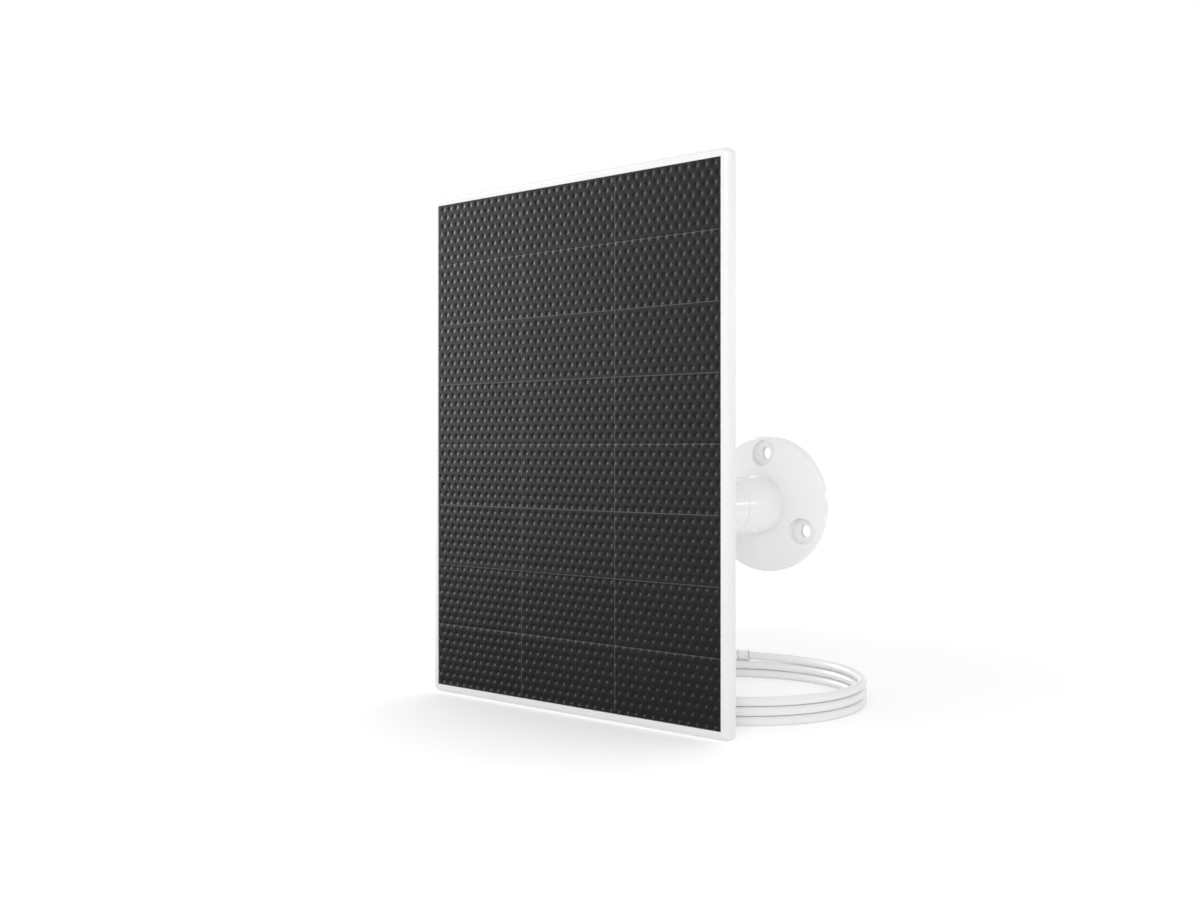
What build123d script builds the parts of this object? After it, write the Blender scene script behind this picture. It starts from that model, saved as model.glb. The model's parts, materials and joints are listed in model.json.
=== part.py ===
"""Solar charging panel for a security camera, with its swivelling wall mount and coiled cable.

Millimetres. X runs across the panel, Y from the panel's face back to the wall, Z up.
The origin is on the surface that the panel stands on, below the middle of its width and
halfway between the panel's face and the wall. Depths ("d") are measured from the face.
"""
import os
from math import acos, cos, degrees, pi, radians, sin, sqrt, tan

from build123d import *

os.makedirs("parts", exist_ok=True)

# ---------------------------------------------------------------- overall sizes
panel_width = 125.0
panel_height = 175.0
reach = 127.0                    # panel face to wall face
mount_height = 64.0              # mount axis above the panel's lower edge

# ---------------------------------------------------------------- front frame
corner_radius = 2.3
frame_border = 2.8               # width of the visible border
frame_depth = 3.8
front_round = 2.2
ledge_depth = 2.5                # face to the ledge that carries the laminate
ledge_width = 6.0
opening_corner = 4.0
boss_radius = 3.0
boss_inset = 10.9                # screw centre in from the panel's edge
boss_end = 8.0
screw_pilot = 1.2
pilot_floor = 0.8                # plastic left below the pilot hole

# ---------------------------------------------------------------- laminate
laminate_gap = 0.2
film_recess = 0.3
film_thickness = 0.5
cell_thickness = 0.2
board_thickness = 1.0
cell_columns = 3
cell_rows = 8
cell_gap = 0.35
ribbon_width = 3.0
ribbon_thickness = 0.15
seal_width = 2.4

# ---------------------------------------------------------------- back cover
cover_end = 11.7
cover_wall = 1.8
cover_step = 3.0                 # how far the cover sits in from the frame's side
cover_corner = 6.0
cover_taper = 25.0
cover_round = 1.6
gasket_width = 1.1
gasket_height = 1.0
gasket_gap = 0.3
screw_head_radius = 2.6
screw_shank_radius = 1.15
screw_tip = 4.0                  # depth that the cover screws reach
screw_head_height = 1.5
plug_height = 0.9
fit_gap = 0.05
mount_boss_radius = 12.0
mount_boss_end = 17.0
insert_radius = 5.0
insert_length = 9.0
vent_radius = 3.5
vent_stem_radius = 2.0
vent_height = 1.0
vent_x = 30.0
vent_z = 40.0

# ---------------------------------------------------------------- charge board
pcb_width = 58.0
pcb_height = 22.0
pcb_thickness = 1.2
pcb_back = 7.7
pcb_z = 32.0
pcb_screw_x = 25.0
post_radius = 2.5
pcb_screw_radius = 0.9
inductor_size = 6.0
inductor_height = 2.8
chip_size = 5.0
chip_height = 1.2
capacitor_radius = 1.6
capacitor_length = 8.0
wire_radius = 0.6

# ---------------------------------------------------------------- cable and gland
cord_diameter = 3.03
cord_radius = cord_diameter / 2
gland_x = 0.0
gland_depth = 15.6
gland_mouth_z = 24.3
gland_length = 13.0
gland_mouth_radius = 2.6
gland_root_radius = 3.8
wire_bore = 2.6                  # way from the gland into the housing
gland_hub_height = 14.0
gland_hub_width = 12.0
gland_hub_end = 20.0
gland_nut_height = 2.4
gland_nut_radius = 4.6

# ---------------------------------------------------------------- ball joint
stud_radius = 3.15
stud_neck_step = 0.1             # how far the neck stands out from the thread
ball_depth = 38.0
ball_radius = 9.0
running_gap = 0.05
nut_radius = 8.5
nut_height = 5.0
nut_grip_count = 12
nut_grip_radius = 0.9
washer_thickness = 0.8
washer_radius = 8.0
seat_thickness = 1.35
seat_hole_angle = 15.0
seat_rim_angle = 60.0
lip_inset = 1.1                  # how far the mouth that keeps the ball in is inside the ball
collar_wall = 2.0
collar_lead = 6.5                # collar's front to the ball's centre
collar_back = 9.0                # ball's centre to the collar's end
collar_flare_wall = 2.5
collar_grip_count = 16
collar_grip_radius = 1.0
head_wall = 1.05                 # threaded head of the arm, inside the collar
head_setback = 0.5               # ball's centre to the head's front
head_back = 12.0                 # ball's centre to the head's end
stop_height = 1.5
stop_gap = 0.3

# ---------------------------------------------------------------- arm and wall base
shoulder_gap = 0.15
shoulder_chamfer = 0.2
arm_radius = 9.3                 # inside the neck; up to the neck the arm is flush with it
arm_taper_end = 58.0
arm_end = 116.7
arm_bore = 5.0
arm_bore_end = 104.0
ring_depth = 111.0
ring_section = 0.75
neck_front = 95.0
neck_wall = 1.45
neck_taper = 0.4                 # how much wider the neck is at the cone
neck_rim_round = 0.3
neck_round = 1.0                 # where the neck meets the cone
flange_front = 118.8             # where the cone meets the neck
flange_radius = 27.2
rim_front = 123.4
rim_round = 1.1
pad_thickness = 1.0
pad_inset = 0.7
web_front = 117.0
web_thickness = 2.0
pocket_radius = 7.5
screw_hole_circle = 41.0
screw_hole_radius = 2.5
counterbore_radius = 5.15
counterbore_floor = 123.7
notch_width = 3.2
notch_length = 14.0
pivot_screw_radius = 1.95
pivot_head_radius = 3.5
pivot_head_height = 2.2
pivot_washer_radius = 6.0
pivot_washer_thickness = 0.6

# ---------------------------------------------------------------- cable coils and plug
loop_center = (30.0, 56.4)       # large loose coil: x and depth
loop_radius = 41.7
loop_turns = 3
coil_corner = 1.2                # rounding of a coil's section
loop_top_start = -172.0          # degrees where the top turn begins, seen from above
loop_top_end = 84.0
store_center = (-39.4, 44.0)     # stored coil: x and depth
store_inner = 10.3               # centreline radius of the innermost turn
store_rings = 5
store_layers = 4
tie_thickness = 0.6
tie_width = 8.0
tie_angle = 180.0
plug_yaw = 195.0                 # direction of the plug, seen from above
plug_droop = 7.4                 # degrees that the plug points down
plug_collar_length = 3.9
plug_collar_radius = 2.15
plug_relief_length = 15.0
plug_relief_front = 2.35
plug_body_length = 17.0
plug_body_width = 10.6
plug_body_height = 6.2
plug_shell_length = 6.65
plug_shell_width = 8.34
plug_shell_height = 2.56
plug_shell_wall = 0.3
plug_tongue_width = 6.2
plug_tongue_height = 0.7
plug_seal_length = 1.2
plug_seal_proud = 0.8

# ---------------------------------------------------------------- worked-out values
face_y = -reach / 2
window_width = panel_width - 2 * frame_border
window_height = panel_height - 2 * frame_border
film_width = window_width - 2 * laminate_gap
film_height = window_height - 2 * laminate_gap
cells_front = film_recess + film_thickness
board_front = cells_front + cell_thickness
board_back = board_front + board_thickness
opening_width = window_width - 2 * ledge_width
opening_height = window_height - 2 * ledge_width
cover_width = panel_width - 2 * cover_step
cover_height = panel_height - 2 * cover_step
cover_inside = cover_end - cover_wall
mid_z = panel_height / 2
screw_x = panel_width / 2 - boss_inset
screw_span = panel_height - 2 * boss_inset
screw_spots = [(x, z) for x in (-screw_x, screw_x) for z in (-screw_span / 2, 0, screw_span / 2)]
insert_front = mount_boss_end - insert_length
nut_front = mount_boss_end + washer_thickness + fit_gap
nut_end = nut_front + nut_height
socket_radius = ball_radius + running_gap + seat_thickness + running_gap
seat_inner = ball_radius + running_gap
seat_outer = seat_inner + seat_thickness
lip_radius = ball_radius - lip_inset
stud_neck_radius = stud_radius + stud_neck_step
head_radius = socket_radius + head_wall
head_front = ball_depth + head_setback
head_end = ball_depth + head_back
stop_radius = head_radius + stop_height
collar_radius = head_radius + collar_wall
collar_front = ball_depth - collar_lead
collar_end = ball_depth + collar_back
lip_setback = sqrt(seat_inner**2 - lip_radius**2)
flange_back = reach - pad_thickness
web_back = web_front + web_thickness
neck_bore = arm_radius + running_gap
neck_front_radius = neck_bore + neck_wall
neck_base_radius = neck_front_radius + neck_taper
arm_body_radius = neck_front_radius - running_gap
shoulder = neck_front - shoulder_gap
loop_height = loop_turns * cord_diameter
store_outer = store_inner + (store_rings - 1) * cord_diameter + cord_radius
store_hole = store_inner - cord_radius
store_top = tie_thickness + store_layers * cord_diameter
gland_top_z = gland_mouth_z + gland_length


def facing(depth, x=0.0, z=0.0):
    """Plane at a depth, seen from the back of the object: its local z runs towards the wall."""
    return Plane(origin=(x, face_y + depth, z), x_dir=(1, 0, 0), z_dir=(0, 1, 0))


def spun(z):
    """Plane whose local x is a radius and local y a depth, for pieces turned about the mount's axis."""
    return Plane(origin=(0, face_y, z), x_dir=(1, 0, 0), z_dir=(0, 0, 1))


def save(builder, name):
    """Label a finished piece and write it to its own file."""
    builder.part.label = name
    export_step(builder.part, f"parts/{name}.step")


mount_section = spun(mount_height)
mount_axis = Axis((0, face_y, mount_height), (0, 1, 0))

# ================================================================ panel front
with BuildPart() as front_frame:
    with BuildSketch(facing(0, z=mid_z)):
        RectangleRounded(panel_width, panel_height, corner_radius)
    extrude(amount=frame_depth)
    fillet(front_frame.faces().sort_by(Axis.Y)[0].outer_wire().edges(), radius=front_round)
    with BuildSketch(facing(0, z=mid_z)):
        Rectangle(window_width, window_height)
    extrude(amount=ledge_depth, mode=Mode.SUBTRACT)
    with BuildSketch(facing(ledge_depth, z=mid_z)):
        RectangleRounded(opening_width, opening_height, opening_corner)
    extrude(amount=frame_depth - ledge_depth, mode=Mode.SUBTRACT)
    with BuildSketch(facing(ledge_depth, z=mid_z)):
        with Locations(*screw_spots):
            Circle(boss_radius)
    extrude(amount=boss_end - ledge_depth)
    with BuildSketch(facing(boss_end, z=mid_z)):
        with Locations(*screw_spots):
            Circle(screw_pilot)
    extrude(amount=-(boss_end - ledge_depth - pilot_floor), mode=Mode.SUBTRACT)
save(front_frame, "front_frame")

with BuildPart() as front_film:
    with BuildSketch(facing(film_recess, z=mid_z)):
        Rectangle(film_width, film_height)
    extrude(amount=film_thickness)
save(front_film, "front_film")

with BuildPart() as solar_cells:
    with BuildSketch(facing(cells_front, z=mid_z)):
        with GridLocations(film_width / cell_columns, film_height / cell_rows, cell_columns, cell_rows):
            Rectangle(film_width / cell_columns - cell_gap, film_height / cell_rows - cell_gap)
    extrude(amount=cell_thickness)
save(solar_cells, "solar_cells")

with BuildPart() as cell_board:
    with BuildSketch(facing(board_front, z=mid_z)):
        Rectangle(film_width, film_height)
    extrude(amount=board_thickness)
save(cell_board, "cell_board")

with BuildPart() as bus_ribbons:
    with BuildSketch(facing(board_back, z=mid_z)):
        with GridLocations(opening_width / cell_columns, 0, cell_columns, 1):
            Rectangle(ribbon_width, opening_height - 2 * ledge_width)
    extrude(amount=ribbon_thickness)
save(bus_ribbons, "bus_ribbons")

with BuildPart() as laminate_seal:
    with BuildSketch(facing(board_back, z=mid_z)):
        Rectangle(film_width, film_height)
        Rectangle(film_width - 2 * seal_width, film_height - 2 * seal_width, mode=Mode.SUBTRACT)
    extrude(amount=ledge_depth - board_back)
save(laminate_seal, "laminate_seal")

# ================================================================ back cover and what it holds
with BuildPart() as back_cover:
    with BuildSketch(facing(frame_depth, z=mid_z)):
        RectangleRounded(cover_width, cover_height, cover_corner)
    extrude(amount=cover_end - frame_depth, taper=cover_taper)
    fillet(back_cover.faces().sort_by(Axis.Y)[-1].outer_wire().edges(), radius=cover_round)
    with BuildSketch(mount_section):
        with BuildLine():
            Polyline(
                (0, cover_inside),
                (mount_boss_radius + cover_round, cover_inside),
                (mount_boss_radius, mount_boss_end),
                (0, mount_boss_end),
                close=True,
            )
        make_face()
    revolve(axis=mount_axis)
    fillet(back_cover.faces().sort_by(Axis.Y)[-1].edges(), radius=cover_round / 2)
    with BuildSketch(facing(cover_end - 1, x=gland_x, z=gland_top_z)):
        RectangleRounded(gland_hub_width, gland_hub_height, gland_hub_width / 4)
    extrude(amount=gland_hub_end - cover_end + 1, taper=8)
    with BuildSketch(facing(frame_depth, z=mid_z)):
        RectangleRounded(cover_width - 2 * cover_wall, cover_height - 2 * cover_wall, cover_corner - cover_wall)
    extrude(amount=cover_inside - frame_depth, taper=cover_taper, mode=Mode.SUBTRACT)
    # the insert's own boss, and the posts that carry the charge board
    with BuildSketch(facing(insert_front, z=mount_height)):
        Circle(insert_radius + cover_wall)
    extrude(amount=cover_end - insert_front)
    with BuildSketch(facing(mount_boss_end, z=mount_height)):
        Circle(insert_radius)
    extrude(amount=-insert_length, mode=Mode.SUBTRACT)
    with BuildSketch(facing(pcb_back, z=pcb_z)):
        with Locations((-pcb_screw_x, 0), (pcb_screw_x, 0)):
            Circle(post_radius)
    extrude(amount=cover_inside - pcb_back + fit_gap)
    with BuildSketch(facing(pcb_back, z=pcb_z)):
        with Locations((-pcb_screw_x, 0), (pcb_screw_x, 0)):
            Circle(pcb_screw_radius)
    extrude(amount=cover_inside - pcb_back, mode=Mode.SUBTRACT)
    # counterbored screw pillars that meet the frame's bosses
    with BuildSketch(facing(boss_end + fit_gap, z=mid_z)):
        with Locations(*screw_spots):
            Circle(boss_radius)
    extrude(amount=cover_inside - boss_end)
    with BuildSketch(facing(boss_end, z=mid_z)):
        with Locations(*screw_spots):
            Circle(screw_shank_radius + 2 * fit_gap)
    extrude(amount=cover_end - boss_end, mode=Mode.SUBTRACT)
    with BuildSketch(facing(cover_end, z=mid_z)):
        with Locations(*screw_spots):
            Circle(screw_head_radius + fit_gap)
    extrude(amount=-(screw_head_height + plug_height), mode=Mode.SUBTRACT)
    # vent hole, and the bore that the gland and the cable pass through
    with BuildSketch(facing(cover_end, x=vent_x, z=vent_z)):
        Circle(vent_stem_radius)
    extrude(amount=-2 * cover_wall, mode=Mode.SUBTRACT)
    with BuildSketch(Plane.XY.offset(gland_top_z - gland_hub_height)):
        with Locations((gland_x, face_y + gland_depth)):
            Circle(gland_root_radius)
    extrude(amount=gland_hub_height + 2, mode=Mode.SUBTRACT)
    with BuildSketch(facing(gland_depth, x=gland_x, z=gland_top_z)):
        Circle(wire_bore)
    extrude(amount=-(gland_depth - cover_inside + 1), mode=Mode.SUBTRACT)
save(back_cover, "back_cover")

with BuildPart() as cover_gasket:
    with BuildSketch(facing(frame_depth, z=mid_z)):
        gasket_outer = 2 * (cover_wall + gasket_gap)
        gasket_inner = gasket_outer + 2 * gasket_width
        RectangleRounded(cover_width - gasket_outer, cover_height - gasket_outer, cover_corner - gasket_outer / 2)
        RectangleRounded(
            cover_width - gasket_inner,
            cover_height - gasket_inner,
            cover_corner - gasket_inner / 2,
            mode=Mode.SUBTRACT,
        )
    extrude(amount=gasket_height)
    add(back_cover.part, mode=Mode.SUBTRACT)
save(cover_gasket, "cover_gasket")

screw_seat = cover_end - plug_height - screw_head_height
with BuildPart() as cover_screws:
    with BuildSketch(facing(screw_seat, z=mid_z)):
        with Locations(*screw_spots):
            Circle(screw_shank_radius)
    extrude(amount=-(screw_seat - screw_tip))
    with BuildSketch(facing(screw_seat, z=mid_z)):
        with Locations(*screw_spots):
            Circle(screw_head_radius - 4 * fit_gap)
    extrude(amount=screw_head_height)
save(cover_screws, "cover_screws")

with BuildPart() as screw_plugs:
    with BuildSketch(facing(cover_end - plug_height, z=mid_z)):
        with Locations(*screw_spots):
            Circle(screw_head_radius - fit_gap)
    extrude(amount=plug_height)
save(screw_plugs, "screw_plugs")

with BuildPart() as vent_plug:
    with BuildSketch(facing(cover_end, x=vent_x, z=vent_z)):
        Circle(vent_radius)
    extrude(amount=vent_height)
    fillet(vent_plug.faces().sort_by(Axis.Y)[-1].edges(), radius=0.4)
    with BuildSketch(facing(cover_end, x=vent_x, z=vent_z)):
        Circle(vent_stem_radius - fit_gap)
    extrude(amount=-cover_wall)
save(vent_plug, "vent_plug")

with BuildPart() as threaded_insert:
    with BuildSketch(facing(insert_front, z=mount_height)):
        Circle(insert_radius)
        Circle(stud_radius + fit_gap, mode=Mode.SUBTRACT)
    extrude(amount=insert_length)
save(threaded_insert, "threaded_insert")

with BuildPart() as charge_board:
    with BuildSketch(facing(pcb_back, z=pcb_z)):
        Rectangle(pcb_width, pcb_height)
        with Locations((-pcb_screw_x, 0), (pcb_screw_x, 0)):
            Circle(pcb_screw_radius + fit_gap, mode=Mode.SUBTRACT)
    extrude(amount=-pcb_thickness)
save(charge_board, "charge_board")

pcb_front = pcb_back - pcb_thickness
with BuildPart() as board_screws:
    with BuildSketch(facing(pcb_front, z=pcb_z)):
        with Locations((-pcb_screw_x, 0), (pcb_screw_x, 0)):
            Circle(post_radius - 0.7)
    extrude(amount=-1.0)
    with BuildSketch(facing(pcb_front, z=pcb_z)):
        with Locations((-pcb_screw_x, 0), (pcb_screw_x, 0)):
            Circle(pcb_screw_radius - fit_gap)
    extrude(amount=pcb_thickness + 1.8)
save(board_screws, "board_screws")

with BuildPart() as inductor:
    with BuildSketch(facing(pcb_front, x=8, z=pcb_z)):
        RectangleRounded(inductor_size, inductor_size, 1.2)
    extrude(amount=-inductor_height)
save(inductor, "inductor")

with BuildPart() as regulator_chips:
    with BuildSketch(facing(pcb_front, x=-3, z=pcb_z)):
        with GridLocations(2 * chip_size, 0, 2, 1):
            Rectangle(chip_size, chip_size)
    extrude(amount=-chip_height)
save(regulator_chips, "regulator_chips")

with BuildPart() as capacitors:
    with BuildSketch(Plane.XY.offset(pcb_z - capacitor_length / 2)):
        with Locations((15, face_y + pcb_front - capacitor_radius), (20, face_y + pcb_front - capacitor_radius)):
            Circle(capacitor_radius)
    extrude(amount=capacitor_length)
save(capacitors, "capacitors")

with BuildPart() as output_wires:
    with BuildSketch(facing(pcb_back, x=gland_x, z=gland_top_z)):
        with Locations((-1.5, 0), (1.5, 0)):
            Circle(wire_radius)
    extrude(amount=gland_depth - gland_root_radius - pcb_back)
save(output_wires, "output_wires")

wire_depth = pcb_front - 2.0
wire_route = [
    (opening_width / 3, face_y + board_back + ribbon_thickness, 52),
    (opening_width / 3, face_y + wire_depth, 52),
    (pcb_width / 2 - 2, face_y + wire_depth, pcb_z + 7),
    (pcb_width / 2 - 2, face_y + pcb_front, pcb_z + 7),
]
with BuildPart() as cell_wires:
    with BuildLine():
        wire_path = FilletPolyline(*wire_route, radius=0.9)
    with BuildSketch(Plane(origin=wire_path @ 0, z_dir=wire_path % 0)):
        Circle(wire_radius)
    sweep()
    mirror(about=Plane.YZ)
save(cell_wires, "cell_wires")

# ================================================================ ball joint
with BuildPart() as ball_stud:
    neck_meets = ball_depth - sqrt(ball_radius**2 - stud_neck_radius**2)
    with BuildSketch(mount_section):
        with BuildLine():
            Polyline(
                (0, insert_front + 0.3),
                (stud_radius - 0.5, insert_front + 0.3),
                (stud_radius, insert_front + 0.8),
                (stud_radius, nut_end + 0.6),
                (stud_neck_radius, nut_end + 0.9),
                (stud_neck_radius, neck_meets),
            )
            ThreePointArc(
                (stud_neck_radius, neck_meets),
                (ball_radius, ball_depth),
                (0, ball_depth + ball_radius),
            )
            Line((0, ball_depth + ball_radius), (0, insert_front + 0.3))
        make_face()
    revolve(axis=mount_axis)
save(ball_stud, "ball_stud")

with BuildPart() as nut_washer:
    with BuildSketch(facing(mount_boss_end, z=mount_height)):
        Circle(washer_radius)
        Circle(stud_radius + 2 * fit_gap, mode=Mode.SUBTRACT)
    extrude(amount=washer_thickness)
save(nut_washer, "nut_washer")

with BuildPart() as jam_nut:
    with BuildSketch(facing(nut_front, z=mount_height)):
        Circle(nut_radius)
        with PolarLocations(nut_radius + nut_grip_radius / 2, nut_grip_count):
            Circle(nut_grip_radius, mode=Mode.SUBTRACT)
        Circle(stud_radius + running_gap, mode=Mode.SUBTRACT)
    extrude(amount=nut_height)
save(jam_nut, "jam_nut")


def on_ball(radius, angle):
    """Point of the mount's section on a sphere about the ball's centre, at an angle from its rear pole."""
    return (radius * sin(radians(angle)), ball_depth + radius * cos(radians(angle)))


with BuildPart() as ball_seat:
    seat_middle = (seat_hole_angle + seat_rim_angle) / 2
    with BuildSketch(mount_section):
        with BuildLine():
            ThreePointArc(
                on_ball(seat_inner, seat_hole_angle),
                on_ball(seat_inner, seat_middle),
                on_ball(seat_inner, seat_rim_angle),
            )
            Line(on_ball(seat_inner, seat_rim_angle), on_ball(seat_outer, seat_rim_angle))
            ThreePointArc(
                on_ball(seat_outer, seat_rim_angle),
                on_ball(seat_outer, seat_middle),
                on_ball(seat_outer, seat_hole_angle),
            )
            Line(on_ball(seat_outer, seat_hole_angle), on_ball(seat_inner, seat_hole_angle))
        make_face()
    revolve(axis=mount_axis)
save(ball_seat, "ball_seat")

with BuildPart() as lock_collar:
    collar_shoulder = head_front - stop_gap
    lip_depth = ball_depth - lip_setback
    thread_radius = head_radius + running_gap
    flare_radius = collar_radius - collar_flare_wall
    with BuildSketch(mount_section):
        with BuildLine():
            ThreePointArc(
                (lip_radius, lip_depth),
                (sqrt(seat_inner**2 - (lip_setback / 2) ** 2), ball_depth - lip_setback / 2),
                (seat_inner, ball_depth),
            )
            Polyline(
                (seat_inner, ball_depth),
                (seat_inner, collar_shoulder),
                (thread_radius, collar_shoulder),
                (thread_radius, collar_end),
                (collar_radius, collar_end),
                (collar_radius, collar_front + 1),
                (collar_radius - 1, collar_front),
                (flare_radius, collar_front),
                (lip_radius, lip_depth),
            )
        make_face()
    revolve(axis=mount_axis)
    with BuildSketch(facing(collar_front + 2.5, z=mount_height)):
        with PolarLocations(collar_radius + collar_grip_radius / 3, collar_grip_count):
            Circle(collar_grip_radius)
    extrude(amount=collar_end - collar_front - 5, mode=Mode.SUBTRACT)
save(lock_collar, "lock_collar")

# ================================================================ arm and wall base
with BuildPart() as arm:
    ring_floor = arm_radius + 0.03 - 2 * ring_section
    ring_half = ring_section + fit_gap
    stop_front = collar_end + stop_gap
    mouth_angle = degrees(acos((head_front - ball_depth) / socket_radius))
    bore_angle = 90 - degrees(acos(arm_bore / socket_radius))
    with BuildSketch(mount_section):
        with BuildLine():
            socket = ThreePointArc(
                on_ball(socket_radius, mouth_angle),
                on_ball(socket_radius, (mouth_angle + bore_angle) / 2),
                on_ball(socket_radius, bore_angle),
            )
            Polyline(
                socket @ 1,
                (arm_bore, arm_bore_end),
                (pivot_screw_radius + fit_gap, arm_bore_end),
                (pivot_screw_radius + fit_gap, arm_end),
                (arm_radius - 0.5, arm_end),
                (arm_radius, arm_end - 0.5),
                (arm_radius, ring_depth + ring_half),
                (ring_floor, ring_depth + ring_half),
                (ring_floor, ring_depth - ring_half),
                (arm_radius, ring_depth - ring_half),
                (arm_radius, shoulder),
                (arm_body_radius - shoulder_chamfer, shoulder),
                (arm_body_radius, shoulder - shoulder_chamfer),
                (arm_body_radius, arm_taper_end),
                (stop_radius, head_end),
                (stop_radius, stop_front),
                (head_radius, stop_front),
                (head_radius, (socket @ 0).Y),
                socket @ 0,
            )
        make_face()
    revolve(axis=mount_axis)
save(arm, "arm")

with BuildPart() as swivel_ring:
    with BuildSketch(mount_section):
        with Locations((ring_floor + ring_section, ring_depth)):
            Circle(ring_section)
    revolve(axis=mount_axis)
save(swivel_ring, "swivel_ring")

washer_front = web_back + fit_gap
with BuildPart() as pivot_washer:
    with BuildSketch(facing(washer_front, z=mount_height)):
        Circle(pivot_washer_radius)
        Circle(pivot_screw_radius + 2 * fit_gap, mode=Mode.SUBTRACT)
    extrude(amount=pivot_washer_thickness)
save(pivot_washer, "pivot_washer")

head_seat = washer_front + pivot_washer_thickness
with BuildPart() as pivot_screw:
    with BuildSketch(facing(head_seat, z=mount_height)):
        Circle(pivot_head_radius)
    extrude(amount=pivot_head_height)
    fillet(pivot_screw.faces().sort_by(Axis.Y)[-1].edges(), radius=0.8)
    with BuildSketch(facing(head_seat, z=mount_height)):
        Circle(pivot_screw_radius)
    extrude(amount=-(head_seat - arm_bore_end - 2))
    with BuildSketch(facing(head_seat + pivot_head_height, z=mount_height)):
        Rectangle(3.6, 0.9)
        Rectangle(0.9, 3.6)
    extrude(amount=-1.2, mode=Mode.SUBTRACT)
save(pivot_screw, "pivot_screw")

with BuildPart() as wall_base:
    with BuildSketch(mount_section):
        with BuildLine():
            FilletPolyline(
                (neck_bore, neck_front),
                (neck_front_radius, neck_front),
                (neck_base_radius, flange_front),
                (flange_radius, rim_front),
                (flange_radius, flange_back),
                radius=[neck_rim_round, neck_round, rim_round],
            )
            Polyline(
                (flange_radius, flange_back),
                (pocket_radius, flange_back),
                (pocket_radius, web_back),
                (pivot_screw_radius + stop_gap, web_back),
                (pivot_screw_radius + stop_gap, web_front),
                (neck_bore, web_front),
                (neck_bore, neck_front),
            )
        make_face()
    revolve(axis=mount_axis)
    with BuildSketch(facing(counterbore_floor, z=mount_height)):
        with PolarLocations(screw_hole_circle / 2, 3, start_angle=-90):
            Circle(counterbore_radius)
    extrude(amount=-10, mode=Mode.SUBTRACT)
    with BuildSketch(facing(counterbore_floor, z=mount_height)):
        with PolarLocations(screw_hole_circle / 2, 3, start_angle=-90):
            Circle(screw_hole_radius)
    extrude(amount=10, mode=Mode.SUBTRACT)
    with BuildSketch(Plane.XY.offset(mount_height + neck_bore - 1)):
        with Locations((0, face_y + neck_front)):
            SlotOverall(2 * notch_length, notch_width, rotation=90)
    extrude(amount=neck_base_radius - neck_bore + 2, mode=Mode.SUBTRACT)
save(wall_base, "wall_base")

with BuildPart() as wall_pad:
    with BuildSketch(facing(flange_back, z=mount_height)):
        Circle(flange_radius - pad_inset)
        Circle(pocket_radius + pad_inset, mode=Mode.SUBTRACT)
        with PolarLocations(screw_hole_circle / 2, 3, start_angle=-90):
            Circle(screw_hole_radius, mode=Mode.SUBTRACT)
    extrude(amount=pad_thickness)
save(wall_pad, "wall_pad")

# ================================================================ cable gland
gland_section = Plane(origin=(gland_x, face_y + gland_depth, 0), x_dir=(1, 0, 0), z_dir=(0, -1, 0))
gland_axis = Axis((gland_x, face_y + gland_depth, 0), (0, 0, 1))
gland_hub_z = gland_top_z - gland_hub_height / 2
with BuildPart() as cable_gland:
    sleeve_radius = gland_root_radius - fit_gap
    with BuildSketch(gland_section):
        with BuildLine():
            Polyline(
                (0, gland_mouth_z),
                (gland_mouth_radius, gland_mouth_z),
                (sleeve_radius, gland_hub_z - gland_nut_height),
                (sleeve_radius, gland_top_z - gland_root_radius),
                (0, gland_top_z - gland_root_radius),
                close=True,
            )
        make_face()
    revolve(axis=gland_axis)
save(cable_gland, "cable_gland")

with BuildPart() as gland_nut:
    with BuildSketch(Plane.XY.offset(gland_hub_z - gland_nut_height)):
        with Locations((gland_x, face_y + gland_depth)):
            RegularPolygon(gland_nut_radius, 6)
            Circle(gland_root_radius, mode=Mode.SUBTRACT)
    extrude(amount=gland_nut_height)
    add(back_cover.part, mode=Mode.SUBTRACT)
save(gland_nut, "gland_nut")

# ================================================================ cable
# Route points: x, depth from the panel's face, height.
lead_route = [
    (0.0, 15.6, 24.3),
    (0.0, 15.7, 16.8),
    (-2.9, 15.8, 9.9),
    (-8.2, 16.1, 4.6),
    (-15.4, 17.0, 1.8),
    (-24.6, 19.2, 1.7),
    (-33.4, 21.5, 2.1),
]
link_route = [
    (-17.2, 44.0, 11.2),
    (-17.0, 35.5, 10.5),
    (-14.6, 28.3, 8.0),
    (-9.2, 23.4, 4.9),
    (-1.6, 20.9, 2.5),
    (6.6, 19.2, 1.6),
    (14.6, 17.3, 1.55),
]
tail_route = [
    (33.0, 98.1, 7.6),
    (25.2, 98.2, 7.65),
    (17.6, 97.4, 7.7),
    (10.2, 95.3, 7.8),
]


def placed(route):
    """Route points in the part's own frame."""
    return [Vector(x, face_y + depth, z) for x, depth, z in route]


def bend_radii(name, points):
    """One radius for each corner: 0.45 of the shorter run over the tangent of half the turn."""
    radii = []
    for before, corner, after in zip(points, points[1:], points[2:]):
        turn = (corner - before).get_angle(after - corner)
        run = min((corner - before).length, (after - corner).length)
        radii.append(0.45 * run / tan(radians(turn / 2)))
    print(name, "bend radii:", [round(radius, 1) for radius in radii])
    return radii


def cord_tube(name, route):
    """Round tube along straight runs joined by tangent arcs."""
    points = placed(route)
    with BuildPart() as tube:
        with BuildLine():
            path = FilletPolyline(*points, radius=bend_radii(name, points))
        with BuildSketch(Plane(origin=path @ 0, z_dir=path % 0)):
            Circle(cord_radius)
        sweep()
    expected = pi * cord_radius**2 * path.length
    print(name, "length", round(path.length, 1), "volume share", round(tube.part.volume / expected, 4))
    return tube


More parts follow.
